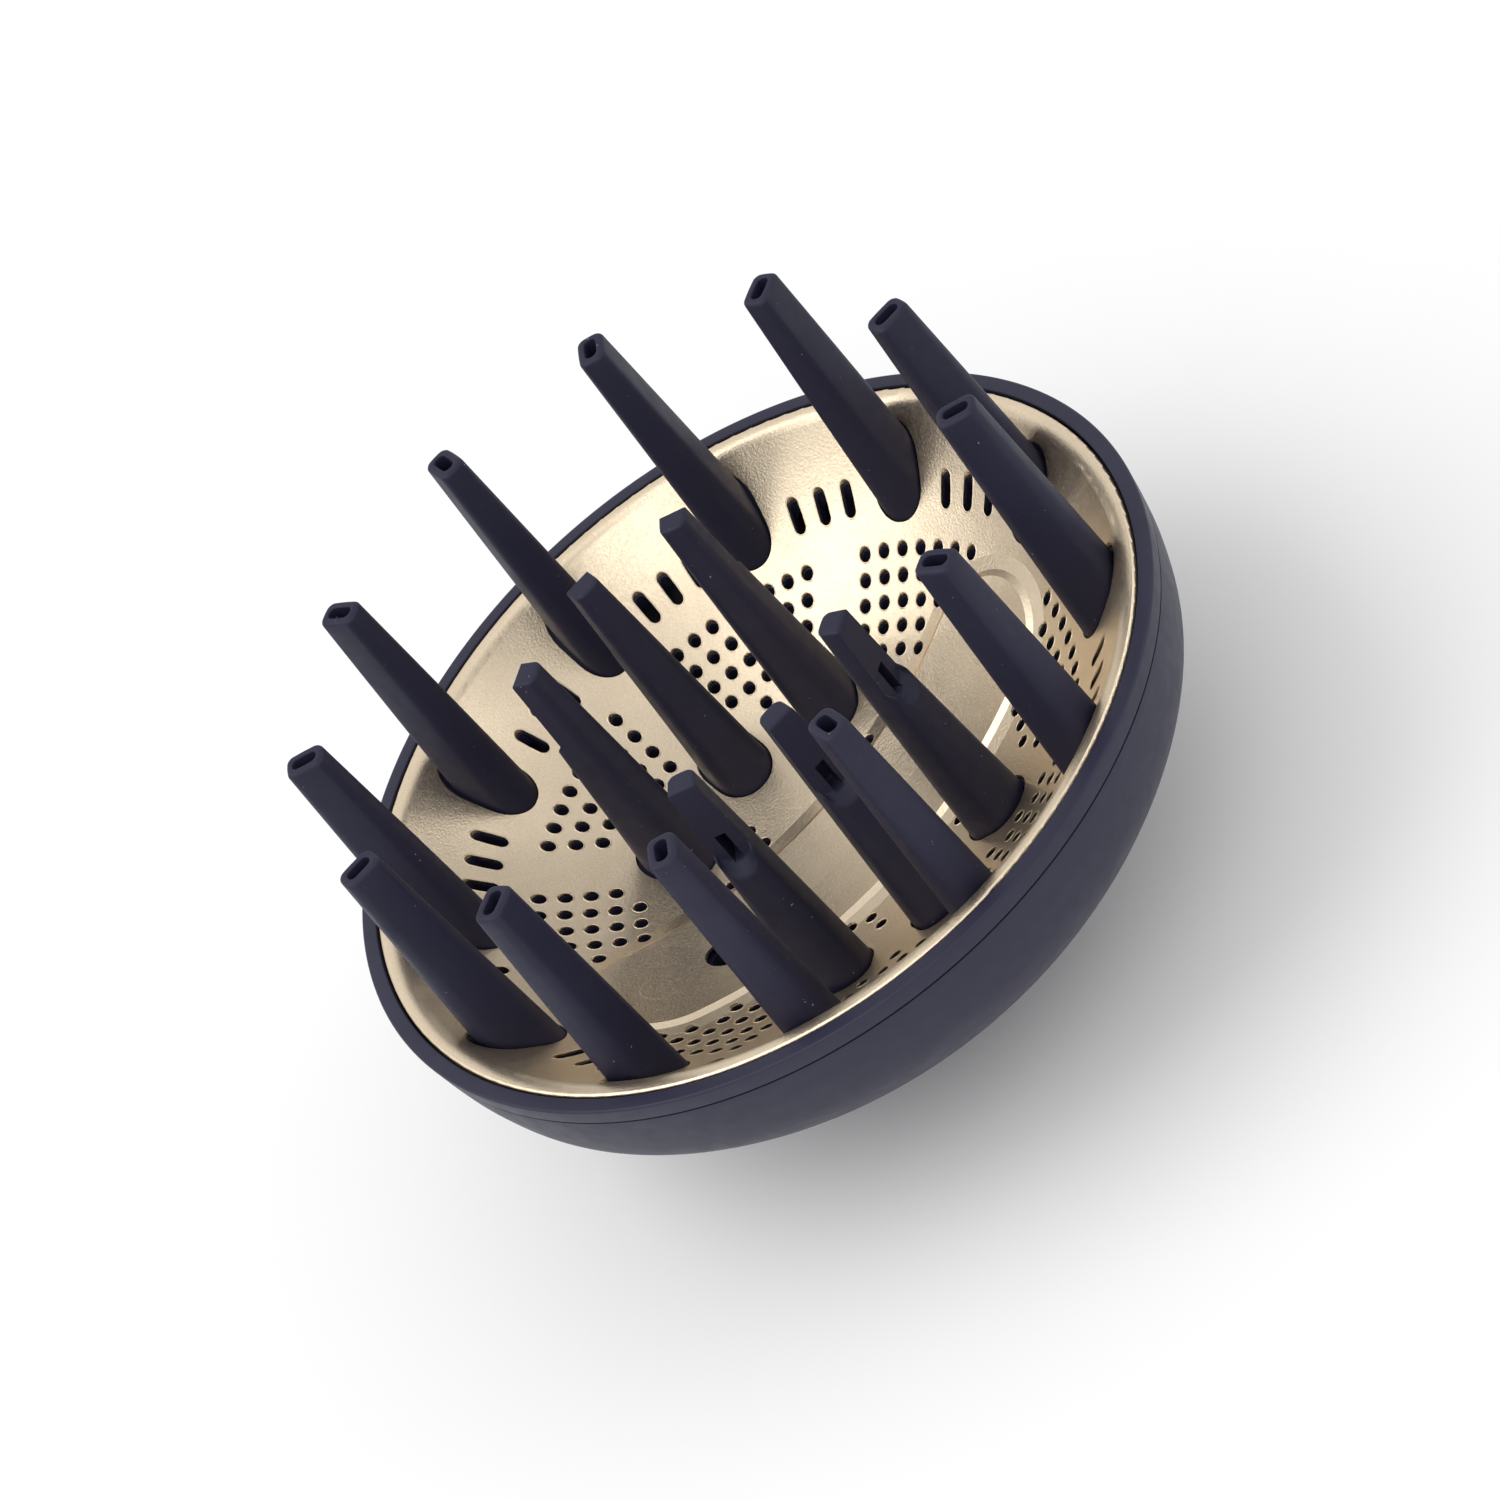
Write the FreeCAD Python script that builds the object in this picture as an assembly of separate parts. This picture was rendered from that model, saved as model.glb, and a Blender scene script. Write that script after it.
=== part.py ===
import FreeCAD, Part
import math
import os

# Dryer diffuser: rear bowl with neck, trim ring, drawn metal dish, prong carrier, hollow prongs, neck sleeve.
# Frame: +Z along the neck axis towards the prong tips, z = 0 on the rear face of the neck, X along the raised bar.
# Lengths in millimetres, angles in degrees.

# ---- rim and dish --------------------------------------------------------------------------------------------
RIM_HEIGHT = 54.6            # rim plane above the rear face of the neck
RIM_RADIUS = 70.0            # outer radius of the metal dish
DISH_DEPTH = 33.5            # deepest point of the dish below the rim plane
LIP_WIDTH = 2.48             # from the rim in to where the dish sphere would meet the rim plane
SKIN = 0.5                   # sheet thickness of the dish
LIP_ROUND = 3.0              # convex round where the dish turns out into the lip
LIP_EDGE = 0.5               # round on the outer edge of the lip
LIP_SKIRT = 3.3              # turned-down skirt under the lip
SKIN_TO_CARRIER = 0.2        # bond gap between dish and carrier
CARRIER_WALL = 1.9
FLANGE_THICKNESS = 1.5       # flat outer flange of the carrier
DISH_RADIUS = ((RIM_RADIUS - LIP_WIDTH) ** 2 + DISH_DEPTH ** 2) / (2 * DISH_DEPTH)
CENTRE_RISE = DISH_RADIUS - DISH_DEPTH
CENTRE_Z = RIM_HEIGHT + CENTRE_RISE
CARRIER_FRONT = DISH_RADIUS + SKIN + SKIN_TO_CARRIER
CARRIER_REAR = CARRIER_FRONT + CARRIER_WALL

# ---- raised bar across the dish ------------------------------------------------------------------------------
BAR_HALF_LENGTH = 48.5       # seen along Z
BAR_HALF_WIDTH = 11.5        # flat top
BAR_RAISE = 1.1
BAR_STEEP_RUN = 1.1          # steep upper part of the side
BAR_STEEP_FOOT = 0.42        # height left at the foot of the steep part
BAR_RAMP_RUN = 3.7           # shallow lower part of the side
BAR_RAMP_SINK = 0.25         # how far the shallow part runs on under the dish face
BAR_WALL = 0.55              # pocket behind the bar is this much narrower than its top
BAR_END_ANGLE = math.degrees(math.asin(BAR_HALF_LENGTH / DISH_RADIUS) - math.asin(BAR_HALF_WIDTH / DISH_RADIUS))
PORT_RADIUS = 3.35           # single round port in the bar
PORT_X = -26.2

# ---- perforations --------------------------------------------------------------------------------------------
HOLE_RADIUS = 1.1
CARRIER_HOLE_INSET = 0.13    # every hole in the carrier is this much smaller all round
ROW_FIRST = RIM_RADIUS - 20.0    # outermost circle of round holes
ROW_PITCH = 3.563
HOLE_PITCH = 3.74            # arc length between neighbours on every circle
SIDE_GROUP_ANGLE = 30.0      # side groups stand at this angle from the bar, one in each quadrant
SIDE_GROUP_ROWS = {0: range(-4, 3), 1: range(-3, 3), 2: range(-2, 3), 3: range(-1, 3), 4: range(-1, 2)}
MIDDLE_GROUP_ROWS = {0: range(2, 10), 1: range(2, 9), 2: range(2, 8), 3: range(2, 6), 4: (3,), 8: (2, 4, 5), 9: (2, 3)}
SLOT_CIRCLE = RIM_RADIUS - 12.6
SLOT_LENGTH = 4.8            # seen along Z
SLOT_WIDTH = 2.15
SLOT_STEP = 5.0
SLOT_GROUP_STEP = 30.0
SLOT_GROUP_FIRST = 15.0

# ---- prongs --------------------------------------------------------------------------------------------------
OUTER_COUNT = 12
OUTER_CIRCLE = RIM_RADIUS - 10.4
OUTER_TIP = 36.3             # tip height above the rim plane
OUTER_TIP_SIZE = (3.4, 2.45)     # half sizes, radial then tangential
OUTER_ROOT = -15.5           # root section, below the rim plane
OUTER_ROOT_SIZE = (5.97, 4.56)
OUTER_STEM_SIZE = (4.3, 3.3)
OUTER_STEM_END = -16.4
OUTER_DUCT_ROOT = (3.0, 2.1)
OUTER_DUCT_TIP = (2.27, 1.08)
INNER_ANGLES = (55.0, 90.0, 125.0, 235.0, 270.0, 305.0)
INNER_CIRCLE = ROW_FIRST - 18.75
INNER_TIP = 21.2
INNER_TIP_SIZE = (0.8, 3.95, 2.45)   # reach away from the axis, reach towards it, half width
INNER_ROOT = -30.4
INNER_ROOT_SIZE = (6.3, 6.2, 5.25)
INNER_STEM_SIZE = (4.9, 3.9)
INNER_STEM_END = -32.0
INNER_DUCT_ROOT = (3.5, 2.6)
INNER_DUCT_TIP = (1.2, 1.1)
INNER_DUCT_SHIFT = -2.1      # duct leans towards the axis so that it stays behind the flat
INNER_DUCT_TOP = 10.2
FLAT_OFFSET = 0.25           # outward flat, from the prong's own centre line
LEDGE_HEIGHT = 3.6           # bottom of the scooped ledge where it leaves the flat, above the rim plane
LEDGE_SIDE_RISE = 2.6        # the scoop's sides end this much higher
LEDGE_HALF_WIDTH = 2.9
LEDGE_SLOPE = 1.1            # the scoop falls this much for each millimetre outwards
OUTLET_WIDTH = 2.0
OUTLET_HEIGHT = 6.4
OUTLET_SINK = 0.3            # the outlet starts this much below the scoop's start
TIP_CORNER = 0.65            # corner radius of a section over its smaller half size, at a tip
ROOT_CORNER = 0.95           # the same at a root, and in stems, sockets and openings
TIP_ROUND = 0.55
PRONG_GAP = 0.2              # between a prong root and its opening in the dish
STEM_FIT = 0.1               # clearance of a stem in its socket
STEM_RISE = 1.0              # a stem runs this far into its prong
SOCKET_WALL = 1.2
SOCKET_FLOOR = 1.2
AIR_HOLE_INSET = 1.3         # ledge left all round under a stem

# ---- trim ring and rear bowl ---------------------------------------------------------------------------------
TRIM_GAP = 1.0               # shadow gap between the dish and the trim ring
TRIM_WIDTH = 2.1
TRIM_LEAN = 0.4              # the outer side leans in by this much down to the seam
TRIM_ROUND = 0.45
TRIM_INNER = RIM_RADIUS + TRIM_GAP
TRIM_OUTER = TRIM_INNER + TRIM_WIDTH
TRIM_FOOT = TRIM_OUTER - TRIM_LEAN
SEAM_DEPTH = 0.4
SEAM_WIDTH = 0.45
BOWL_WALL = 2.0
# Outline of the bowl from the seam to the neck: share of its depth, then share of its reach beyond the neck.
BOWL_STATIONS = ((0.235, 0.973), (0.392, 0.917), (0.548, 0.794), (0.705, 0.615), (0.859, 0.376), (0.955, 0.157))
FLANGE_LAP = 0.4             # carrier flange under the trim ring
FLANGE_SEAT = 1.1            # ledge of the bowl under the flange
FLANGE_CLEARANCE = 0.3
FLANGE_RADIUS = TRIM_INNER + FLANGE_LAP
LEDGE_INNER = FLANGE_RADIUS - FLANGE_SEAT
SLEEVE_BORE = 21.5           # takes the dryer barrel
SLEEVE_WALL = 1.6
SLEEVE_FIT = 0.1
SLEEVE_START = 0.6
SLEEVE_LEAD = 0.7
SLEEVE_STOP = 0.8            # step above the sleeve, over the sleeve bore
SHOULDER_Z = 10.5
NECK_WALL = 2.0
NECK_FILLET = 2.8
NECK_LENGTH = 9.9            # rear face to where the fillet leaves the bowl
NECK_BORE = SLEEVE_BORE + SLEEVE_WALL + SLEEVE_FIT
NECK_RADIUS = NECK_BORE + NECK_WALL
SHOULDER_BORE = SLEEVE_BORE + SLEEVE_STOP


def vec(x, y, z):
    return FreeCAD.Vector(x, y, z)


ORIGIN = vec(0, 0, 0)
AXIS_Z = vec(0, 0, 1)
AXIS_Y = vec(0, 1, 0)


def line(a, b):
    return Part.makeLine(vec(*a), vec(*b))


def arc(a, b, c):
    return Part.Arc(vec(*a), vec(*b), vec(*c)).toShape()


def section(points):
    """Closed face in the XZ plane from (radius, z) corner points."""
    corners = [vec(r, 0, z) for r, z in points]
    return Part.Face(Part.makePolygon(corners + corners[:1]))


def spun(face):
    return face.revolve(ORIGIN, AXIS_Z, 360)


def sphere_point(radius, angle):
    """Point in the XZ plane on a sphere about the dish centre; the angle is from straight down, in radians."""
    return (radius * math.sin(angle), 0, CENTRE_Z - radius * math.cos(angle))


def angle_at_height(radius, z):
    return math.acos((CENTRE_Z - z) / radius)


def ball(radius):
    return Part.makeSphere(radius, vec(0, 0, CENTRE_Z))


def rounded(reach_out, reach_in, half_y, z, shift=0.0, corner_share=ROOT_CORNER):
    """Rounded-rectangle wire in the plane z that reaches unequally far in +X and -X from x = shift."""
    arcs = []
    for sign_x, sign_y in ((1, 1), (-1, 1), (-1, -1), (1, -1)):
        reach = reach_out if sign_x > 0 else reach_in
        corner = corner_share * min(reach, half_y)
        turn = corner * math.sqrt(0.5)
        centre = vec(shift + sign_x * (reach - corner), sign_y * (half_y - corner), z)
        side = centre + vec(sign_x * corner, 0, 0)
        middle = centre + vec(sign_x * turn, sign_y * turn, 0)
        end = centre + vec(0, sign_y * corner, 0)
        arcs.append((side, middle, end) if sign_x == sign_y else (end, middle, side))
    edges = []
    for index, (start, middle, stop) in enumerate(arcs):
        edges.append(Part.Arc(start, middle, stop).toShape())
        edges.append(Part.makeLine(stop, arcs[(index + 1) % 4][0]))
    return Part.Wire(edges)


def oval(half_x, half_y, z, shift=0.0, corner_share=ROOT_CORNER):
    """Rounded-rectangle wire in the plane z, centred on x = shift."""
    return rounded(half_x, half_x, half_y, z, shift, corner_share)


def oval_prism(size, low, high, grow=0.0, shift=0.0):
    wire = oval(size[0] + grow, size[1] + grow, low, shift)
    return Part.Face(wire).extrude(vec(0, 0, high - low))


def placed(shape, radius, angle):
    copy = shape.copy()
    copy.translate(vec(radius, 0, 0))
    copy.rotate(ORIGIN, AXIS_Z, angle)
    return copy


# ---- perforation tools ---------------------------------------------------------------------------------------
def hole_centres():
    """Centre (x, y) of every round perforation."""
    centres = []
    for row, columns in SIDE_GROUP_ROWS.items():
        radius = ROW_FIRST - row * ROW_PITCH
        for column in columns:
            angle = math.radians(SIDE_GROUP_ANGLE) + column * HOLE_PITCH / radius
            x, y = radius * math.cos(angle), radius * math.sin(angle)
            centres += [(x, y), (-x, y), (x, -y), (-x, -y)]
    for row, columns in MIDDLE_GROUP_ROWS.items():
        radius = ROW_FIRST - row * ROW_PITCH
        for column in columns:
            angle = column * HOLE_PITCH / radius
            x, y = radius * math.sin(angle), radius * math.cos(angle)
            centres += [(x, y), (-x, y), (x, -y), (-x, -y)]
    return centres


def perforation_tools(inset):
    """Solids that cut every round hole, every slot and the port, each smaller by the inset all round."""
    height = RIM_HEIGHT
    tools = [Part.makeCylinder(HOLE_RADIUS - inset, height, vec(x, y, 0)) for x, y in hole_centres()]
    slot = oval_prism((SLOT_LENGTH / 2, SLOT_WIDTH / 2), 0, height, -inset)
    for group in range(OUTER_COUNT):
        for offset in (-SLOT_STEP, 0, SLOT_STEP):
            tools.append(placed(slot, SLOT_CIRCLE, SLOT_GROUP_FIRST + group * SLOT_GROUP_STEP + offset))
    tools.append(Part.makeCylinder(PORT_RADIUS - inset, height, vec(PORT_X, 0, 0)))
    return tools


def prong_stations():
    """(circle radius, angle, is_outer) of every prong."""
    outer = [(OUTER_CIRCLE, index * 360 / OUTER_COUNT, True) for index in range(OUTER_COUNT)]
    inner = [(INNER_CIRCLE, angle, False) for angle in INNER_ANGLES]
    return outer + inner


# ---- metal dish ----------------------------------------------------------------------------------------------
def dish_sheet():
    """Drawn sheet: spherical bowl, convex round into a flat lip, turned-down skirt."""
    round_z = RIM_HEIGHT - LIP_ROUND
    round_r = math.sqrt((DISH_RADIUS + LIP_ROUND) ** 2 - (CENTRE_RISE + LIP_ROUND) ** 2)
    meet = math.atan2(round_r, CENTRE_Z - round_z)
    tilt = (math.pi / 2 - meet) / 2

    def on_round(radius, angle):
        return (round_r - radius * math.sin(angle), 0, round_z + radius * math.cos(angle))

    inner_round = LIP_ROUND - SKIN
    edge_r = RIM_RADIUS - LIP_EDGE
    edge_z = RIM_HEIGHT - LIP_EDGE
    half = LIP_EDGE * math.sqrt(0.5)
    under = RIM_HEIGHT - SKIN
    skirt_r = RIM_RADIUS - SKIN
    foot = RIM_HEIGHT - LIP_SKIRT
    front_end = sphere_point(DISH_RADIUS, meet)
    rear_end = sphere_point(DISH_RADIUS + SKIN, meet)
    edges = [
        arc(sphere_point(DISH_RADIUS, 0), sphere_point(DISH_RADIUS, meet / 2), front_end),
        arc(front_end, on_round(LIP_ROUND, tilt), (round_r, 0, RIM_HEIGHT)),
        line((round_r, 0, RIM_HEIGHT), (edge_r, 0, RIM_HEIGHT)),
        arc((edge_r, 0, RIM_HEIGHT), (edge_r + half, 0, edge_z + half), (RIM_RADIUS, 0, edge_z)),
        line((RIM_RADIUS, 0, edge_z), (RIM_RADIUS, 0, foot)),
        line((RIM_RADIUS, 0, foot), (skirt_r, 0, foot)),
        line((skirt_r, 0, foot), (skirt_r, 0, under)),
        line((skirt_r, 0, under), (round_r, 0, under)),
        arc((round_r, 0, under), on_round(inner_round, tilt), rear_end),
        arc(rear_end, sphere_point(DISH_RADIUS + SKIN, meet / 2), sphere_point(DISH_RADIUS + SKIN, 0)),
        line(sphere_point(DISH_RADIUS + SKIN, 0), sphere_point(DISH_RADIUS, 0)),
    ]
    return spun(Part.Face(Part.Wire(edges)))


def bar_point(distance, height):
    """Point in the XZ plane: distance along X from the bar's middle line, height above the dish face."""
    return sphere_point(DISH_RADIUS - height, math.asin(distance / DISH_RADIUS))


def bar_body(corners, floor_radius):
    """Raised stadium that follows the dish: corners are (distance, height) from the top edge outwards."""
    top = [bar_point(*corner) for corner in corners]
    top_radius = DISH_RADIUS - corners[0][1]
    half_top = math.asin(corners[0][0] / DISH_RADIUS)
    floor_angle = math.asin(corners[-1][0] / DISH_RADIUS)
    crown = sphere_point(top_radius, 0)
    base = sphere_point(floor_radius, floor_angle)
    edges = [arc(crown, sphere_point(top_radius, half_top / 2), top[0])]
    edges += [line(top[i], top[i + 1]) for i in range(len(top) - 1)]
    edges.append(line(top[-1], base))
    edges.append(arc(base, sphere_point(floor_radius, floor_angle / 2), sphere_point(floor_radius, 0)))
    edges.append(line(sphere_point(floor_radius, 0), crown))
    half_face = Part.Face(Part.Wire(edges))
    button = spun(half_face)
    centre = vec(0, 0, CENTRE_Z)
    side = half_face.copy()
    side.rotate(centre, AXIS_Z, 90)
    side.rotate(centre, AXIS_Y, -BAR_END_ANGLE)
    other = half_face.copy()
    other.rotate(centre, AXIS_Z, -90)
    other.rotate(centre, AXIS_Y, -BAR_END_ANGLE)
    bands = [face.revolve(centre, AXIS_Y, 2 * BAR_END_ANGLE) for face in (side, other)]
    ends = []
    for sign in (-1, 1):
        end = button.copy()
        end.rotate(centre, AXIS_Y, sign * BAR_END_ANGLE)
        ends.append(end)
    return bands[0].fuse([bands[1]] + ends).removeSplitter()


def make_dish():
    steep_end = BAR_HALF_WIDTH + BAR_STEEP_RUN
    ramp_end = steep_end + BAR_RAMP_RUN
    outline = ((BAR_HALF_WIDTH, BAR_RAISE), (steep_end, BAR_STEEP_FOOT), (ramp_end, -BAR_RAMP_SINK))
    bar = bar_body(outline, DISH_RADIUS + SKIN / 2 + 0.1)
    pocket_top = BAR_RAISE - SKIN
    pocket = bar_body(((BAR_HALF_WIDTH - BAR_WALL, pocket_top), (BAR_HALF_WIDTH, -SKIN - 1.0)), DISH_RADIUS + SKIN + 1.5)
    sheet = dish_sheet().fuse(bar).cut(pocket)
    tools = perforation_tools(0)
    outer = oval_prism(OUTER_ROOT_SIZE, 0, RIM_HEIGHT + 1, PRONG_GAP)
    inner = oval_prism((max(INNER_ROOT_SIZE[:2]), INNER_ROOT_SIZE[2]), 0, RIM_HEIGHT + 1, PRONG_GAP)
    for radius, angle, is_outer in prong_stations():
        tools.append(placed(outer if is_outer else inner, radius, angle))
    return sheet.cut(tools)


# ---- prong carrier -------------------------------------------------------------------------------------------
def make_carrier():
    flange_top = RIM_HEIGHT - LIP_SKIRT
    flange_low = flange_top - FLANGE_THICKNESS
    front = angle_at_height(CARRIER_FRONT, flange_top)
    rear = angle_at_height(CARRIER_REAR, flange_low)
    front_end = sphere_point(CARRIER_FRONT, front)
    rear_end = sphere_point(CARRIER_REAR, rear)
    edges = [
        arc(sphere_point(CARRIER_FRONT, 0), sphere_point(CARRIER_FRONT, front / 2), front_end),
        line(front_end, (FLANGE_RADIUS, 0, flange_top)),
        line((FLANGE_RADIUS, 0, flange_top), (FLANGE_RADIUS, 0, flange_low)),
        line((FLANGE_RADIUS, 0, flange_low), rear_end),
        arc(rear_end, sphere_point(CARRIER_REAR, rear / 2), sphere_point(CARRIER_REAR, 0)),
        line(sphere_point(CARRIER_REAR, 0), sphere_point(CARRIER_FRONT, 0)),
    ]
    body = spun(Part.Face(Part.Wire(edges)))
    sockets = []
    bores = []
    for radius, angle, is_outer in prong_stations():
        size = OUTER_STEM_SIZE if is_outer else INNER_STEM_SIZE
        seat = RIM_HEIGHT + (OUTER_STEM_END if is_outer else INNER_STEM_END)
        sockets.append(placed(oval_prism(size, seat - SOCKET_FLOOR, flange_low, STEM_FIT + SOCKET_WALL), radius, angle))
        bores.append(placed(oval_prism(size, seat, RIM_HEIGHT, STEM_FIT), radius, angle))
        bores.append(placed(oval_prism(size, 0, RIM_HEIGHT, -AIR_HOLE_INSET), radius, angle))
    sockets = [socket.cut(ball(CARRIER_FRONT)) for socket in sockets]
    tools = perforation_tools(CARRIER_HOLE_INSET)
    return body.fuse(sockets).cut(bores + tools)


# ---- prongs --------------------------------------------------------------------------------------------------
def edges_at_height(shape, z):
    """Edges lying in the plane z."""
    boxes = [(edge, edge.BoundBox) for edge in shape.Edges]
    return [edge for edge, box in boxes if abs(box.ZMin - z) < 1e-4 and abs(box.ZMax - z) < 1e-4]


def stem_and_trim(body, circle, stem_size, stem_end):
    """Trim the root flush with the back of the dish and add the plug that enters the carrier."""
    body.translate(vec(circle, 0, 0))
    back = DISH_RADIUS + SKIN
    top = CENTRE_Z - math.sqrt(back ** 2 - (circle + stem_size[0]) ** 2) + STEM_RISE
    shaft = oval_prism(stem_size, RIM_HEIGHT + stem_end, top, 0.0, circle)
    return body.common(ball(back)).fuse(shaft)


def make_outer_prong():
    root_z = RIM_HEIGHT + OUTER_ROOT
    tip_z = RIM_HEIGHT + OUTER_TIP
    wires = [oval(*OUTER_ROOT_SIZE, root_z), oval(*OUTER_TIP_SIZE, tip_z, 0.0, TIP_CORNER)]
    body = Part.makeLoft(wires, True, True)
    body = body.makeFillet(TIP_ROUND, edges_at_height(body, tip_z))
    body = stem_and_trim(body, OUTER_CIRCLE, OUTER_STEM_SIZE, OUTER_STEM_END)
    duct_low = RIM_HEIGHT + OUTER_STEM_END - 1
    duct_wires = [oval(*OUTER_DUCT_ROOT, duct_low, OUTER_CIRCLE), oval(*OUTER_DUCT_TIP, tip_z + 1, OUTER_CIRCLE)]
    return body.cut(Part.makeLoft(duct_wires, True, True))


def ledge_tool():
    """Cutter for the outward flat and for the scooped ledge below it."""
    reach = 2 * INNER_ROOT_SIZE[0]
    low = RIM_HEIGHT + LEDGE_HEIGHT
    side = low + LEDGE_SIDE_RISE
    top = RIM_HEIGHT + INNER_TIP + reach
    x = FLAT_OFFSET
    edges = [
        arc((x, -LEDGE_HALF_WIDTH, side), (x, 0, low), (x, LEDGE_HALF_WIDTH, side)),
        line((x, LEDGE_HALF_WIDTH, side), (x, reach, side)),
        line((x, reach, side), (x, reach, top)),
        line((x, reach, top), (x, -reach, top)),
        line((x, -reach, top), (x, -reach, side)),
        line((x, -reach, side), (x, -LEDGE_HALF_WIDTH, side)),
    ]
    return Part.Face(Part.Wire(edges)).extrude(vec(reach, 0, -LEDGE_SLOPE * reach))


def make_inner_prong():
    root_z = RIM_HEIGHT + INNER_ROOT
    tip_z = RIM_HEIGHT + INNER_TIP
    wires = [rounded(*INNER_ROOT_SIZE, root_z), rounded(*INNER_TIP_SIZE, tip_z, 0.0, TIP_CORNER)]
    body = Part.makeLoft(wires, True, True)
    body = body.cut(ledge_tool())
    body = body.makeFillet(TIP_ROUND, edges_at_height(body, tip_z))
    body = stem_and_trim(body, INNER_CIRCLE, INNER_STEM_SIZE, INNER_STEM_END)
    duct_low = RIM_HEIGHT + INNER_STEM_END - 1
    duct_top = RIM_HEIGHT + INNER_DUCT_TOP
    top_centre = INNER_CIRCLE + INNER_DUCT_SHIFT
    duct_wires = [oval(*INNER_DUCT_ROOT, duct_low, INNER_CIRCLE), oval(*INNER_DUCT_TIP, duct_top, top_centre)]
    corner = vec(top_centre, -OUTLET_WIDTH / 2, RIM_HEIGHT + LEDGE_HEIGHT - OUTLET_SINK)
    outlet = Part.makeBox(INNER_ROOT_SIZE[0], OUTLET_WIDTH, OUTLET_HEIGHT, corner)
    return body.cut([Part.makeLoft(duct_wires, True, True), outlet])


# ---- trim ring, rear bowl, neck sleeve -----------------------------------------------------------------------
def make_trim():
    top = RIM_HEIGHT
    low = RIM_HEIGHT - LIP_SKIRT
    ring = spun(section([(TRIM_INNER, low), (TRIM_INNER, top), (TRIM_OUTER, top), (TRIM_FOOT, low)]))
    crown = [edge for edge in ring.Edges if abs(edge.BoundBox.ZMin - top) < 1e-4 and edge.Closed]
    return ring.makeFillet(TRIM_ROUND, crown)


def spline(points):
    curve = Part.BSplineCurve()
    curve.interpolate([vec(r, 0, z) for r, z in points])
    return curve


def offset_points(curve, distance, count):
    """Points set off a plane curve in XZ to its left, seen along -Y."""
    first, last = curve.FirstParameter, curve.LastParameter
    result = []
    for index in range(count + 1):
        parameter = first + (last - first) * index / count
        point = curve.value(parameter)
        tangent = curve.tangent(parameter)[0]
        result.append((point.x + distance * tangent.z, point.z - distance * tangent.x))
    return result


def make_bowl():
    seat_z = RIM_HEIGHT - LIP_SKIRT
    seam_z = seat_z - SEAM_DEPTH
    ledge_z = seat_z - FLANGE_THICKNESS
    wall_r = FLANGE_RADIUS + FLANGE_CLEARANCE
    fillet_z = NECK_LENGTH
    fillet_r = NECK_RADIUS + NECK_FILLET
    half = NECK_FILLET * (1 - math.sqrt(0.5))
    depth = RIM_HEIGHT - NECK_LENGTH
    reach = TRIM_FOOT - fillet_r
    stations = [(fillet_r + share * reach, RIM_HEIGHT - down * depth) for down, share in BOWL_STATIONS]
    outer = [(TRIM_FOOT, seam_z)] + stations + [(fillet_r, fillet_z)]
    skin = spline(outer)
    inside = [point for point in offset_points(skin, BOWL_WALL, 40) if point[1] < ledge_z - 2.5]
    floor_z = inside[-1][1]
    seam_r = TRIM_FOOT - SEAM_WIDTH
    edges = [
        line((wall_r, 0, seat_z), (seam_r, 0, seat_z)),
        line((seam_r, 0, seat_z), (TRIM_FOOT, 0, seam_z)),
        skin.toShape(),
        arc((fillet_r, 0, fillet_z), (NECK_RADIUS + half, 0, fillet_z - half), (NECK_RADIUS, 0, fillet_z - NECK_FILLET)),
        line((NECK_RADIUS, 0, fillet_z - NECK_FILLET), (NECK_RADIUS, 0, 0)),
        line((NECK_RADIUS, 0, 0), (NECK_BORE, 0, 0)),
        line((NECK_BORE, 0, 0), (NECK_BORE, 0, SHOULDER_Z)),
        line((NECK_BORE, 0, SHOULDER_Z), (SHOULDER_BORE, 0, SHOULDER_Z)),
        line((SHOULDER_BORE, 0, SHOULDER_Z), (SHOULDER_BORE, 0, floor_z)),
        line((SHOULDER_BORE, 0, floor_z), (inside[-1][0], 0, floor_z)),
        spline(inside).toShape(),
        line((inside[0][0], 0, inside[0][1]), (LEDGE_INNER, 0, ledge_z)),
        line((LEDGE_INNER, 0, ledge_z), (wall_r, 0, ledge_z)),
        line((wall_r, 0, ledge_z), (wall_r, 0, seat_z)),
    ]
    return spun(Part.Face(Part.Wire(Part.__sortEdges__(edges))))


def make_sleeve():
    outer = NECK_BORE - SLEEVE_FIT
    return spun(section([
        (outer, SLEEVE_START), (outer, SHOULDER_Z), (SLEEVE_BORE, SHOULDER_Z),
        (SLEEVE_BORE, SLEEVE_START + SLEEVE_LEAD), (SLEEVE_BORE + SLEEVE_LEAD, SLEEVE_START),
    ]))


def main():
    os.makedirs("parts", exist_ok=True)
    nodes = {
        "rear_bowl": make_bowl(),
        "trim_ring": make_trim(),
        "face_dish": make_dish(),
        "prong_carrier": make_carrier(),
        "neck_sleeve": make_sleeve(),
    }
    outer = make_outer_prong()
    inner = make_inner_prong()
    for index in range(OUTER_COUNT):
        nodes[f"outer_prong_{index + 1:02d}"] = placed(outer, 0, index * 360 / OUTER_COUNT)
    for index, angle in enumerate(INNER_ANGLES):
        nodes[f"inner_prong_{index + 1:02d}"] = placed(inner, 0, angle)
    for name, shape in nodes.items():
        print(name, shape.ShapeType, len(shape.Solids), shape.isValid(), round(shape.Volume, 1))
        shape.exportStep(os.path.join("parts", name + ".step"))


main()
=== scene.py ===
import logging
import math
from dataclasses import dataclass, field
from enum import Enum
from typing import Callable, Iterable

import bmesh
import bpy
from mathutils import Matrix, Vector

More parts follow.
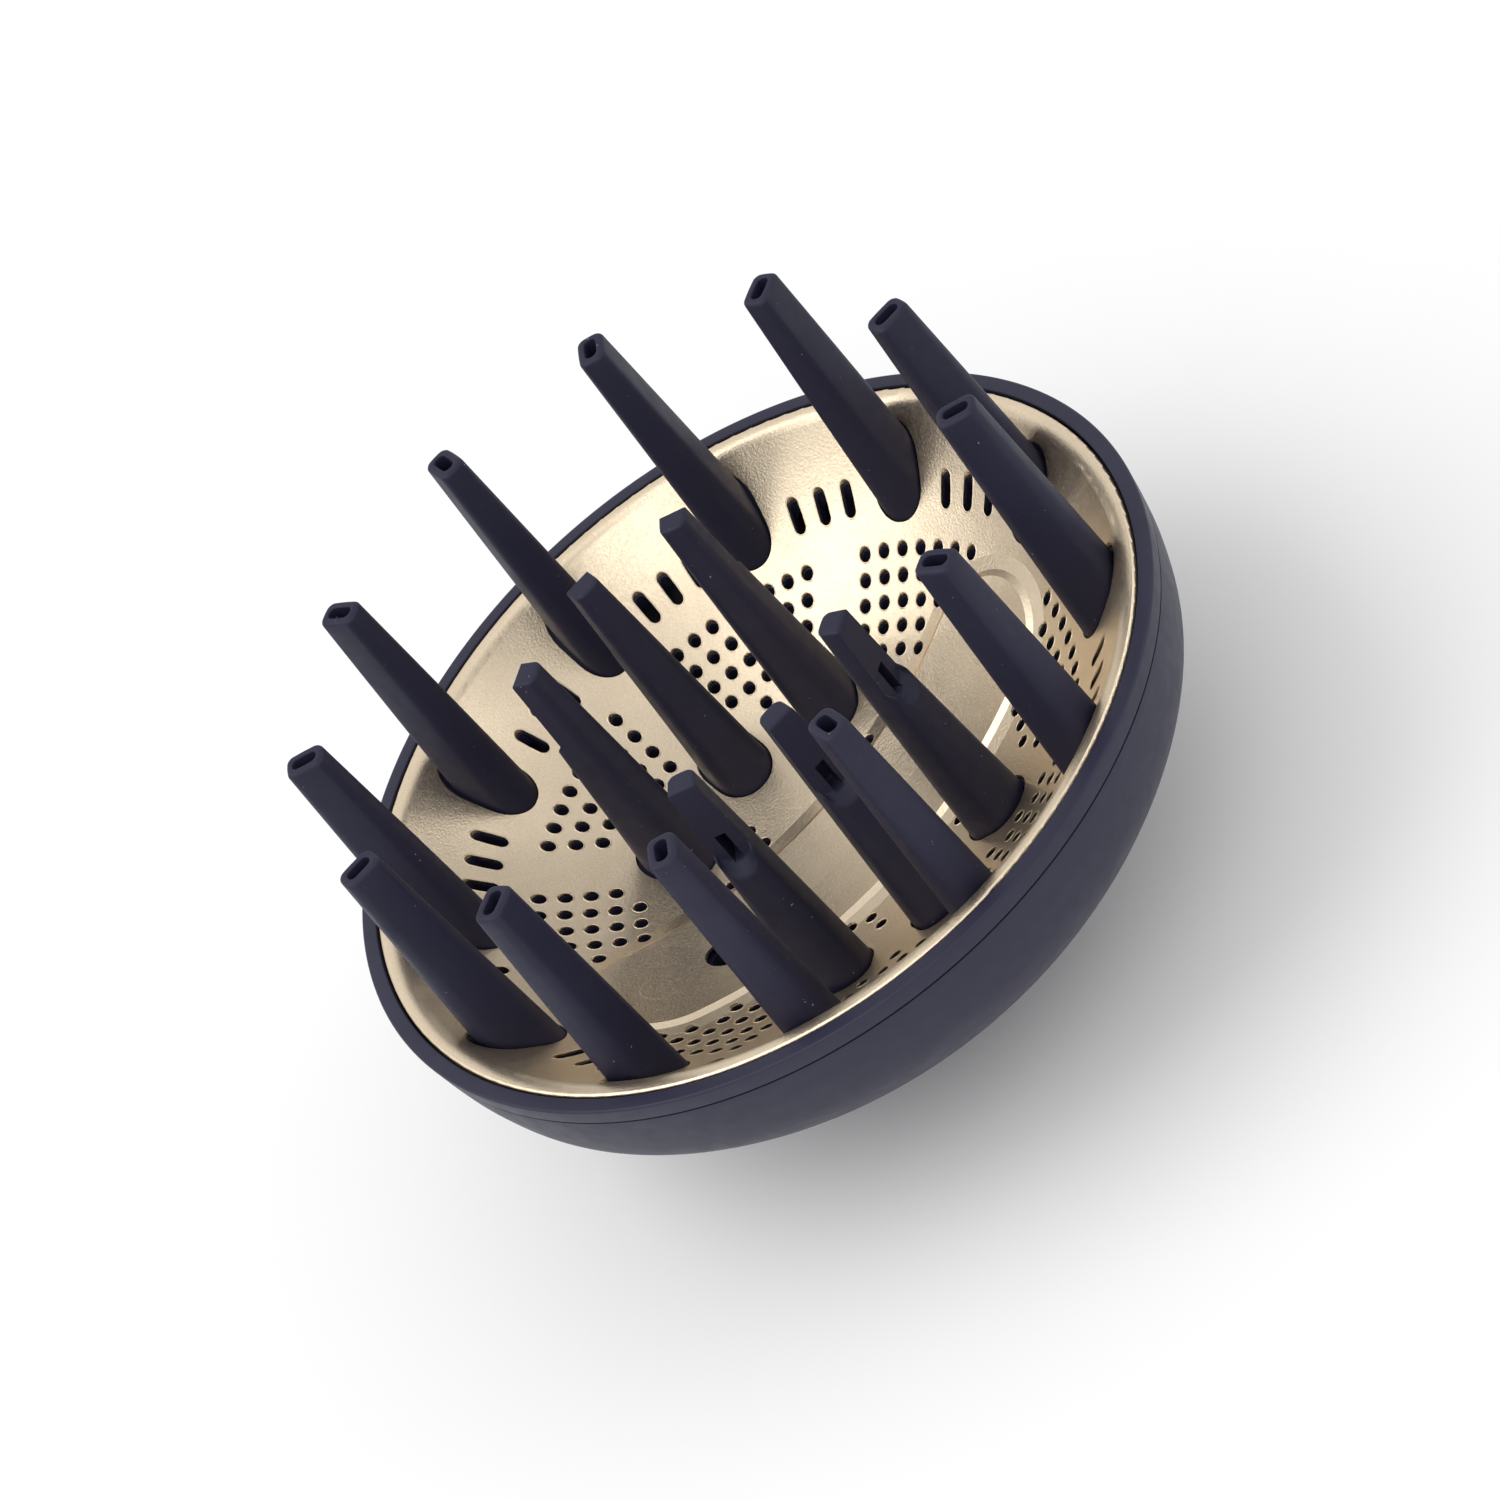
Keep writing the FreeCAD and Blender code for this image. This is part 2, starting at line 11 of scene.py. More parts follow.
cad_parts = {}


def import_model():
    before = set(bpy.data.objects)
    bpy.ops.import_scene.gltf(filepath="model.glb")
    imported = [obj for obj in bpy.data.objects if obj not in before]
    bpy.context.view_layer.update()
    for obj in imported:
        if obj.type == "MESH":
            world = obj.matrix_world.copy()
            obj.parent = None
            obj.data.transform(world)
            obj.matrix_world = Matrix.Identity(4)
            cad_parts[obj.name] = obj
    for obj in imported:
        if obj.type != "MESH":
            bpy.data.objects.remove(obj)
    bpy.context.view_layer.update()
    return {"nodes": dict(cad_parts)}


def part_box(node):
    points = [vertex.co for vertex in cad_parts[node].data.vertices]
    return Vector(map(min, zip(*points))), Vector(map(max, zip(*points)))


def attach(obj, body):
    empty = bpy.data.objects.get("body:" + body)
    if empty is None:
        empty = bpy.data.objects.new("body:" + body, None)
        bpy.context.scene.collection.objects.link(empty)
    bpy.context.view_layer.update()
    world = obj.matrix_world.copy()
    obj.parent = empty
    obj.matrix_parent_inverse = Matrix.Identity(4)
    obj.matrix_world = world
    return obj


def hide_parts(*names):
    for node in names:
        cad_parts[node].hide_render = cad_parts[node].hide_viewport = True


log = logging.getLogger("diffuser")
MM = 0.001
ROOT = "root"
DISH_RADIUS = 84.8  # of the sphere that the dish face is part of, in millimetres
DISH_RISE = 51.3  # from the rim plane up to that sphere's centre
SHEET = 0.5  # thickness of the dish
OUTER_STEP = 30  # degrees between two outer prongs
OUTER_LEANS = {30: (1.4, -0.2), 60: (0.2, 0.6), 90: (0.8, 0.1), 120: (0.7, 0.0), 150: (0.1, 0.5), 210: (0.4, -0.8)}
INNER_PLACES = (55.0, 90.0, 125.0, 235.0, 270.0, 305.0)


class Slot(Enum):
    """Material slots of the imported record."""

    SHELL = "navy_shell"
    MOULDING = "navy_moulding"
    DISH = "champagne_dish"
    SLEEVE = "sleeve_rubber"


# ---- finishes ------------------------------------------------------------------------------------------------
class NodeBench:
    """Adds shader nodes to one material and joins them."""

    def __init__(self, name: str) -> None:
        """Starts a material with only a principled shader.

        Args:
            name: name of the new material.
        """
        self.material = bpy.data.materials.new(name)
        self.material.use_nodes = True
        self.tree = self.material.node_tree
        self.shader = self.tree.nodes["Principled BSDF"]
        self.place = self.add("ShaderNodeTexCoord").outputs["Object"]

    def add(self, kind: str, **settings: object) -> bpy.types.Node:
        """Adds a node.

        Args:
            kind: class name of the node.
            settings: attributes, or unlinked inputs written as in_ and the input's name.

        Returns:
            The new node.
        """
        node = self.tree.nodes.new(kind)
        for key, value in settings.items():
            if key.startswith("in_"):
                node.inputs[key[3:].replace("_", " ")].default_value = value
            else:
                setattr(node, key, value)
        return node

    def join(self, source: bpy.types.NodeSocket, node: bpy.types.Node, name: str | int) -> None:
        """Links a socket to a node's input, given by name or number."""
        self.tree.links.new(source, node.inputs[name])

    def noise(self, size_mm: float, detail: float, roughness: float = 0.5) -> bpy.types.NodeSocket:
        """Adds object-space noise whose features are size_mm across.

        Args:
            size_mm: feature size in millimetres.
            detail: octaves.
            roughness: weight of the finer octaves.

        Returns:
            The noise value.
        """
        node = self.add("ShaderNodeTexNoise", in_Scale=1 / (size_mm * MM), in_Detail=detail, in_Roughness=roughness)
        self.join(self.place, node, "Vector")
        return node.outputs["Fac"]

    def spread(self, value: bpy.types.NodeSocket, low: float, high: float,
               span: tuple[float, float] = (0.3, 0.7)) -> bpy.types.NodeSocket:
        """Maps a value from one range to another.

        Args:
            value: the value to map.
            low: result at the start of the span.
            high: result at its end.
            span: the part of the value's range that is used.

        Returns:
            The mapped value.
        """
        node = self.add("ShaderNodeMapRange", in_From_Min=span[0], in_From_Max=span[1],
                        in_To_Min=low, in_To_Max=high)
        self.join(value, node, "Value")
        return node.outputs["Result"]

    def blend(self, value: bpy.types.NodeSocket, first: tuple | bpy.types.NodeSocket,
              second: tuple) -> bpy.types.NodeSocket:
        """Mixes two colours.

        Args:
            value: share of the second colour.
            first: a colour, or the socket of one.
            second: the other colour.

        Returns:
            The mixed colour.
        """
        node = self.add("ShaderNodeMix", data_type="RGBA")
        self.join(value, node, 0)
        if isinstance(first, tuple):
            node.inputs[6].default_value = (*first, 1)
        else:
            self.join(first, node, 6)
        node.inputs[7].default_value = (*second, 1)
        return node.outputs[2]

    def bump(self, value: bpy.types.NodeSocket, depth_mm: float,
             below: bpy.types.NodeSocket | None = None) -> bpy.types.NodeSocket:
        """Turns a height value into a shading normal.

        Args:
            value: height from 0 to 1.
            depth_mm: height in millimetres that 1 stands for.
            below: normal to build on.

        Returns:
            The bent normal.
        """
        node = self.add("ShaderNodeBump", in_Strength=1.0, in_Distance=depth_mm * MM)
        self.join(value, node, "Height")
        if below is not None:
            self.join(below, node, "Normal")
        return node.outputs["Normal"]


@dataclass(frozen=True)
class MouldedNavy:
    """Matte navy plastic with a fine spark-eroded grain, faint flow clouding and a few specks of lint."""

    name: str
    colour: tuple[float, float, float]
    cloud: tuple[float, float, float]
    roughness: tuple[float, float]
    grain_mm: float
    grain_depth_mm: float
    lint: bool = False
    lint_colour: tuple[float, float, float] = (0.22, 0.22, 0.25)
    specular: float = 0.34

    def make(self) -> bpy.types.Material:
        """Builds the material and returns it."""
        bench = NodeBench(self.name)
        clouds = bench.noise(14.0, 3.0)
        colour = bench.blend(bench.spread(clouds, 0.0, 1.0), self.colour, self.cloud)
        if self.lint:
            specks = bench.spread(bench.noise(0.75, 1.0), 0.0, 1.0, (0.785, 0.82))
            colour = bench.blend(specks, colour, self.lint_colour)
        bench.join(colour, bench.shader, "Base Color")
        rough = bench.spread(bench.noise(3.0, 4.0), *self.roughness)
        bench.join(rough, bench.shader, "Roughness")
        bench.join(bench.bump(bench.noise(self.grain_mm, 2.0), self.grain_depth_mm), bench.shader, "Normal")
        bench.shader.inputs["Specular IOR Level"].default_value = self.specular
        return bench.material


@dataclass(frozen=True)
class ChampagneSatin:
    """Champagne-gold metallic finish over a fine blasted grain."""

    name: str = "champagne_satin"
    colour: tuple[float, float, float] = (0.885, 0.745, 0.560)
    cloud: tuple[float, float, float] = (0.760, 0.630, 0.455)
    roughness: tuple[float, float] = (0.32, 0.42)
    grain_mm: float = 0.42
    grain_depth_mm: float = 0.055

    def make(self) -> bpy.types.Material:
        """Builds the material and returns it."""
        bench = NodeBench(self.name)
        mottle = bench.add("ShaderNodeMath", operation="ADD")
        bench.join(bench.spread(bench.noise(9.0, 3.0), 0.0, 0.4), mottle, 0)
        bench.join(bench.spread(bench.noise(0.38, 2.0), 0.0, 0.6), mottle, 1)
        bench.join(bench.blend(mottle.outputs[0], self.colour, self.cloud), bench.shader, "Base Color")
        bench.join(bench.spread(bench.noise(0.5, 2.0), *self.roughness), bench.shader, "Roughness")
        waves = bench.bump(bench.noise(7.0, 2.0), 0.03)
        grain = bench.bump(bench.noise(self.grain_mm, 2.0, 0.6), self.grain_depth_mm, waves)
        bench.join(grain, bench.shader, "Normal")
        bench.shader.inputs["Metallic"].default_value = 1.0
        return bench.material


@dataclass
class Finishes:
    """The materials of the diffuser, one of each."""

    shell: bpy.types.Material = field(init=False)
    prong: bpy.types.Material = field(init=False)
    inner: bpy.types.Material = field(init=False)
    dish: bpy.types.Material = field(init=False)
    rubber: bpy.types.Material = field(init=False)

    def __post_init__(self) -> None:
        """Builds every material."""
        self.shell = MouldedNavy("soft_touch_navy", (0.0155, 0.0148, 0.0370), (0.0180, 0.0173, 0.0410),
                                 (0.44, 0.52), 0.45, 0.004).make()
        self.prong = MouldedNavy("moulded_navy", (0.0100, 0.0100, 0.0300), (0.0130, 0.0130, 0.0345),
                                 (0.52, 0.62), 0.35, 0.006, lint=True).make()
        self.inner = MouldedNavy("carrier_navy", (0.0090, 0.0088, 0.0260), (0.0120, 0.0115, 0.0300),
                                 (0.50, 0.60), 0.35, 0.006).make()
        self.dish = ChampagneSatin().make()
        self.rubber = MouldedNavy("sleeve_black", (0.018, 0.018, 0.021), (0.024, 0.024, 0.027),
                                  (0.62, 0.75), 0.3, 0.008).make()


# ---- mesh helpers --------------------------------------------------------------------------------------------
def finish_piece(name: str, bm: bmesh.types.BMesh, material: bpy.types.Material,
                 stands_for: Iterable[str] = (), crease_deg: float = 38.0) -> None:
    """Turns a bmesh into a finished piece that rides on the object.

    Args:
        name: piece name.
        bm: the mesh, freed here.
        material: its material.
        stands_for: CAD nodes that the piece replaces.
        crease_deg: edges sharper than this stay crisp.
    """
    bmesh.ops.remove_doubles(bm, verts=bm.verts, dist=1e-7)
    bmesh.ops.recalc_face_normals(bm, faces=bm.faces)
    mesh = bpy.data.meshes.new(name)
    bm.to_mesh(mesh)
    bm.free()
    mesh.polygons.foreach_set("use_smooth", [True] * len(mesh.polygons))
    mesh.set_sharp_from_angle(angle=math.radians(crease_deg))
    mesh.materials.append(material)
    piece = bpy.data.objects.new(name, mesh)
    bpy.context.scene.collection.objects.link(piece)
    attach(piece, ROOT)
    if stands_for:
        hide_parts(*stands_for)
    log.info("%s: %d faces", name, len(mesh.polygons))


def merge_into(target: bmesh.types.BMesh, part: bmesh.types.BMesh) -> None:
    """Adds one mesh to another.

    Args:
        target: the mesh that grows.
        part: the mesh to add, freed here.
    """
    mesh = bpy.data.meshes.new("part")
    part.to_mesh(mesh)
    part.free()
    target.from_mesh(mesh)
    bpy.data.meshes.remove(mesh)


def rounded_outline(corners: Iterable[tuple[float, float, float]], steps: int = 5) -> list[tuple[float, float]]:
    """Rounds the corners of a closed outline.

    Args:
        corners: (radius, height, round) of each corner in millimetres; a round of 0 keeps the corner.
        steps: straight pieces per round.

    Returns:
        The outline's points in order.
    """
    corners = list(corners)
    points = []
    for index, (r, z, size) in enumerate(corners):
        here = Vector((r, z))
        if not size:
            points.append((r, z))
            continue
        before = Vector(corners[index - 1][:2]) - here
        after = Vector(corners[(index + 1) % len(corners)][:2]) - here
        half = before.angle(after) / 2
        reach = size / math.tan(half)
        centre = here + (before.normalized() + after.normalized()).normalized() * size / math.sin(half)
        start = here + before.normalized() * reach - centre
        end = here + after.normalized() * reach - centre
        for step in range(steps + 1):
            spoke = start.lerp(end, step / steps).normalized() * size
            points.append(tuple(centre + spoke))
    return points


def smooth_run(stations: list[tuple[float, float]], steps: int) -> list[tuple[float, float]]:
    """Passes a Catmull-Rom curve through the stations.

    Args:
        stations: (radius, height) points in millimetres.
        steps: pieces between two stations.

    Returns:
        Points along the curve, ends included.
    """
    ends = [Vector(stations[0]) * 2 - Vector(stations[1]), Vector(stations[-1]) * 2 - Vector(stations[-2])]
    knots = [ends[0]] + [Vector(point) for point in stations] + [ends[1]]
    points = []
    for index in range(1, len(knots) - 2):
        a, b, c, d = knots[index - 1:index + 3]
        for step in range(steps):
            t = step / steps
            points.append(tuple(
                0.5 * (2 * b + (c - a) * t + (2 * a - 5 * b + 4 * c - d) * t ** 2
                       + (3 * b - a - 3 * c + d) * t ** 3)
            ))
    points.append(tuple(stations[-1]))
    return points


def turned(outline: list[tuple[float, float]], segments: int) -> bmesh.types.BMesh:
    """Spins a closed outline about the Z axis.

    Args:
        outline: (radius, height) points in millimetres.
        segments: steps round the axis.

    Returns:
        The turned mesh.
    """
    bm = bmesh.new()
    verts = [bm.verts.new((r * MM, 0, z * MM)) for r, z in outline]
    pairs = list(zip(verts, verts[1:])) + [(verts[-1], verts[0])]
    edges = [bm.edges.new(pair) for pair in pairs]
    bmesh.ops.spin(bm, geom=verts + edges, cent=(0, 0, 0), axis=(0, 0, 1), angle=math.tau, steps=segments,
                   use_merge=True)
    return bm


class Loft:
    """A tube grown ring by ring by extruding its open edge loop."""

    def __init__(self, segments: int) -> None:
        """Starts with one ring of vertices, each of which remembers its turn.

        Args:
            segments: vertices in a ring.
        """
        self.bm = bmesh.new()
        self.turn = self.bm.verts.layers.float.new("turn")
        made = bmesh.ops.create_circle(self.bm, segments=segments, radius=1.0)
        for vert in made["verts"]:
            vert[self.turn] = math.atan2(vert.co.y, vert.co.x)
        self.edges = list(self.bm.edges)
        self.started = False

    def grow(self, place: Callable[[float], Vector]) -> None:
        """Adds a ring.

        Args:
            place: gives a vertex's point in millimetres from its turn.
        """
        if self.started:
            made = bmesh.ops.extrude_edge_only(self.bm, edges=self.edges)["geom"]
            fresh = {item for item in made if isinstance(item, bmesh.types.BMVert)}
            self.edges = [item for item in made
                          if isinstance(item, bmesh.types.BMEdge) and set(item.verts) <= fresh]
        self.started = True
        for vert in {vert for edge in self.edges for vert in edge.verts}:
            vert.co = place(vert[self.turn]) * MM

    def cap(self) -> None:
        """Closes the open ring with one face."""
        bmesh.ops.edgeloop_fill(self.bm, edges=self.edges)


def soft_min(value: float, limit: float, blend: float) -> float:
    """Gives the smaller of two values, rounded over where they meet.

    Args:
        value: one value.
        limit: the other.
        blend: width of the round.

    Returns:
        The smaller value, or a little less near the meeting.
    """
    gap = max(blend - abs(value - limit), 0.0) / blend
    return min(value, limit) - gap * gap * blend / 4


def rounded_point(turn: float, reach_out: float, reach_in: float, half_y: float,
                  corner_share: float = 0.95) -> tuple[float, float]:
    """Point on a rounded oblong that reaches unequally far in +X and -X.

    Args:
        turn: angle round the section.
        reach_out: reach in +X.
        reach_in: reach in -X.
        half_y: half width.
        corner_share: corner radius over the smaller half size.

    Returns:
        The point (x, y).
    """
    reach = reach_out if math.cos(turn) > 0 else reach_in
    corner = corner_share * min(reach, half_y)
    run_x = max(-1.0, min(1.0, 3.2 * math.cos(turn)))
    run_y = max(-1.0, min(1.0, 3.2 * math.sin(turn)))
    return ((reach - corner) * run_x + corner * math.cos(turn), (half_y - corner) * run_y + corner * math.sin(turn))


def oblong(turn: float, half_x: float, half_y: float, corner_share: float = 0.95) -> tuple[float, float]:
    """Point on a rounded oblong centred on the origin."""
    return rounded_point(turn, half_x, half_x, half_y, corner_share)


# ---- the dish's own geometry ---------------------------------------------------------------------------------
@dataclass(frozen=True)
class Sphere:
    """The sphere that the dish face is part of, in millimetres."""

    radius: float
    centre_z: float

    def height(self, x: float, y: float, out: float = 0.0) -> float:
        """Height of the lower half at (x, y), on a sphere larger by out."""
        return self.centre_z - math.sqrt((self.radius + out) ** 2 - x * x - y * y)


# ---- rear bowl, trim ring and sleeve -------------------------------------------------------------------------
@dataclass
class RearAssembly:
    """Rear bowl with its neck, the trim ring round the dish and the soft sleeve in the neck."""

    finishes: Finishes
    rim_z: float
    segments: int = 256
    trim_inner: float = 70.4
    trim_outer: float = 73.1
    trim_foot: float = 72.7
    trim_depth: float = 3.3
    seam_width: float = 0.42
    seam_depth: float = 0.4
    wall: float = 2.0
    stations: tuple = ((10.5, 71.5), (17.5, 69.0), (24.5, 63.5), (31.5, 55.5), (38.4, 44.8), (42.7, 35.0),
                       (44.7, 28.0))
    floor_depth: float = 42.2
    seat_radius: float = 71.7
    ledge_radius: float = 70.3
    flange_depth: float = 4.8
    ledge_depth: float = 7.0
    neck_radius: float = 25.2
    neck_bore: float = 23.2
    shoulder_bore: float = 22.3
    shoulder_z: float = 10.5
    sleeve_bore: float = 21.5
    sleeve_ribs: int = 4

    def bowl(self) -> None:
        """Builds the rear bowl with its neck."""
        seam_z = self.rim_z - self.trim_depth - self.seam_depth
        skin = smooth_run([(self.trim_foot, seam_z)] + [(r, self.rim_z - d) for d, r in self.stations], 8)
        deepest = self.stations[-1][0]
        inner = [(r - self.wall, self.rim_z - d + 0.5 * self.wall * (d / deepest)) for d, r in self.stations[:4]]
        floor_z = self.rim_z - self.floor_depth
        neck_top = skin[-1][1] - 2.8
        outline = [(self.seat_radius, seam_z + self.seam_depth),
                   (self.trim_foot - self.seam_width, seam_z + self.seam_depth),
                   (self.trim_foot - self.seam_width, seam_z + 0.12), (self.trim_foot - 0.1, seam_z + 0.03)]
        outline += skin[1:]
        outline += rounded_outline([(skin[-1][0] - 0.8, skin[-1][1] - 0.2, 0),
                                    (self.neck_radius, neck_top + 2.2, 2.0),
                                    (self.neck_radius, neck_top - 2, 0)])[1:]
        outline += rounded_outline([(self.neck_radius, 2, 0), (self.neck_radius, 0, 0.6), (self.neck_bore, 0, 0.35),
                                    (self.neck_bore, self.shoulder_z, 0), (self.shoulder_bore, self.shoulder_z, 0.2),
                                    (self.shoulder_bore, floor_z, 0.6), (30.0, floor_z + 0.6, 0),
                                    (42.0, self.rim_z - 37.0, 0)])
        outline += list(reversed(smooth_run(inner, 4)))
        outline += [(self.ledge_radius, self.rim_z - self.ledge_depth),
                    (self.ledge_radius, self.rim_z - self.flange_depth),
                    (self.seat_radius, self.rim_z - self.flange_depth)]
        finish_piece("bowl_shell", turned(outline, self.segments), self.finishes.shell, ["rear_bowl"])

    def trim(self) -> None:
        """Builds the trim ring with its rounded crown."""
        foot = self.rim_z - self.trim_depth
        outline = rounded_outline([
            (self.trim_inner, foot, 0), (self.trim_inner, self.rim_z, 0.22),
            (self.trim_outer, self.rim_z, 0.42), (self.trim_foot, foot, 0.12),
        ])
        finish_piece("trim_band", turned(outline, self.segments), self.finishes.shell, ["trim_ring"])

    def sleeve(self) -> None:
        """Builds the soft sleeve with its grip ribs."""
        outer = self.neck_bore - 0.1
        rib_pitch = 2.0
        corners = [(outer, 0.6, 0.2), (outer, self.shoulder_z, 0), (self.sleeve_bore, self.shoulder_z, 0)]
        for index in range(self.sleeve_ribs):
            top = self.shoulder_z - 0.8 - index * rib_pitch
            corners += [(self.sleeve_bore, top, 0.15), (self.sleeve_bore + 0.45, top - 0.4, 0.15),
                        (self.sleeve_bore + 0.45, top - 0.9, 0.15), (self.sleeve_bore, top - 1.3, 0.15)]
        corners += [(self.sleeve_bore, 1.4, 0.2), (self.sleeve_bore + 0.8, 0.6, 0.15)]
        finish_piece("grip_sleeve", turned(rounded_outline(corners, 3), 128), self.finishes.rubber,
                     ["neck_sleeve"])

    def build(self) -> None:
        """Builds every piece of the rear assembly."""
        self.bowl()
        self.trim()
        self.sleeve()


# ---- prongs --------------------------------------------------------------------------------------------------
def stand(bm: bmesh.types.BMesh, angle: float, lean: tuple[float, float], foot_z: float, height: float) -> None:
    """Turns a prong to its place round the dish and leans it.

    Args:
        bm: the prong's mesh, built on the X axis.
        angle: place round the dish in degrees.
        lean: how far the tip moves in X and Y, in millimetres.
        foot_z: level that stays put, in millimetres.
        height: foot to tip in millimetres.
    """
    bmesh.ops.rotate(bm, verts=bm.verts, cent=(0, 0, 0), matrix=Matrix.Rotation(math.radians(angle), 3, "Z"))
    slope_x, slope_y = (size / height for size in lean)
    shear = Matrix(((1, 0, slope_x, -slope_x * foot_z * MM), (0, 1, slope_y, -slope_y * foot_z * MM),
                    (0, 0, 1, 0), (0, 0, 0, 1)))
    bmesh.ops.transform(bm, matrix=shear, verts=bm.verts)


@dataclass
class Prong:
    """What both kinds of prong share, in millimetres; levels count from the rim plane."""

    finishes: Finishes
    sphere: Sphere
    rim_z: float
    kind: str = ""
    circle: float = 0.0
    tip: float = 0.0
    tip_round: float = 0.0
    root: float = 0.0
    stem_half: tuple[float, float] = (0.0, 0.0)
    stem_end: float = 0.0
    corners: tuple[float, float] = (0.95, 0.65)

    def at(self, turn: float, level: float, inset: float = 0.0) -> Vector:
        """Point of the body's section, which each kind of prong gives."""
        raise NotImplementedError

    def share(self, level: float) -> float:
        """How far a level is along the taper from root to tip."""
        return (level - self.root) / (self.tip - self.root)

    def corner(self, share: float) -> float:
        """Corner share of the section at a share of the taper."""
        return self.corners[0] + (self.corners[1] - self.corners[0]) * share

    def ring(self, turn: float, half: tuple[float, float], level: float) -> Vector:
        """Point of a plain oblong section at a level."""
        x, y = oblong(turn, *half)
        return Vector((self.circle + x, y, self.rim_z + level))

    def on_back(self, point: Vector) -> Vector:
        """The same point moved along Z to the back of the dish."""
        return Vector((point.x, point.y, self.sphere.height(point.x, point.y, SHEET)))

    def root_point(self, turn: float) -> Vector:
        """Finds where the tapered body meets the back of the dish.

        Args:
            turn: angle round the section.

        Returns:
            The point.
        """
        level = self.root
        for _ in range(4):
            level = self.on_back(self.at(turn, level)).z - self.rim_z
        return self.at(turn, level)

    def round_tip(self, loft: Loft, steps: int) -> None:
        """Rounds the body over into its tip.

        Args:
            loft: the prong so far.
            steps: rings in the round, less one.
        """
        for step in range(steps + 1):
            angle_here = step / steps * math.pi / 2
            inset = self.tip_round * (1 - math.cos(angle_here))
            level = self.tip - self.tip_round * (1 - math.sin(angle_here))
            loft.grow(lambda t, i=inset, z=level: self.at(t, z, i))

    def put_in_place(self, loft: Loft, index: int, angle: float, lean: tuple[float, float] = (0.0, 0.0)) -> None:
        """Stands the prong in its place and finishes it.

        Args:
            loft: the prong, built on the X axis.
            index: number of the prong.
            angle: place round the dish in degrees.
            lean: how far the tip stands off its place in X and Y, in millimetres.
        """
        stand(loft.bm, angle, lean, self.rim_z + self.stem_end, self.tip - self.stem_end)
        name = f"{self.kind}_prong_{index:02d}"
        finish_piece(f"{name}_body", loft.bm, self.finishes.prong, [name], 50)


@dataclass
class OuterProng(Prong):
    """Tall hollow prong with an oblong outlet in its rounded tip."""

    kind: str = "outer"
    circle: float = 59.6
    tip: float = 36.3
    tip_half: tuple[float, float] = (3.4, 2.45)
    root: float = -15.5
    root_half: tuple[float, float] = (5.97, 4.56)
    body_levels: tuple = (-2.5, 4.0, 12.0, 20.0, 28.0, 33.0)
    tip_round: float = 0.75
    duct_half: tuple[float, float] = (2.2, 1.08)
    duct_edge: float = 0.28
    duct_flare: float = 0.5
    duct_straight: float = 8.0
    stem_half: tuple[float, float] = (4.2, 3.2)
    stem_end: float = -16.3
    segments: int = 64

    def at(self, turn: float, level: float, inset: float = 0.0) -> Vector:
        """Gives a point of the body.

        Args:
            turn: angle round the section.
            level: height above the rim plane.
            inset: how far the section is drawn in.

        Returns:
            The point.
        """
        share = self.share(level)
        half = [a + (b - a) * share - inset for a, b in zip(self.root_half, self.tip_half)]
        x, y = oblong(turn, *half, self.corner(share))
        return Vector((self.circle + x, y, self.rim_z + level))

    def build(self, index: int, angle: float, lean: tuple[float, float]) -> None:
        """Builds the prong.

        Args:
            index: number of the prong.
            angle: place round the dish in degrees.
            lean: how far the tip stands off its place in X and Y, in millimetres.
        """
        loft = Loft(self.segments)
        duct_low = tuple(size + self.duct_flare for size in self.duct_half)
        loft.grow(lambda t: self.ring(t, duct_low, self.stem_end))
        loft.grow(lambda t: self.ring(t, self.stem_half, self.stem_end))
        loft.grow(lambda t: self.on_back(self.ring(t, self.stem_half, 0)))
        loft.grow(self.root_point)
        for level in self.body_levels:
            loft.grow(lambda t, z=level: self.at(t, z))
        self.round_tip(loft, 6)
        for step in range(5):
            angle_here = step / 4 * math.pi / 2
            grow = self.duct_edge * (1 - math.sin(angle_here))
            drop = self.duct_edge * (1 - math.cos(angle_here))
            wider = tuple(size + grow for size in self.duct_half)
            loft.grow(lambda t, w=wider, z=self.tip - drop: self.ring(t, w, z))
        loft.grow(lambda t: self.ring(t, self.duct_half, self.tip - self.duct_straight))
        loft.grow(lambda t: self.ring(t, duct_low, self.stem_end))
        self.put_in_place(loft, index, angle, lean)


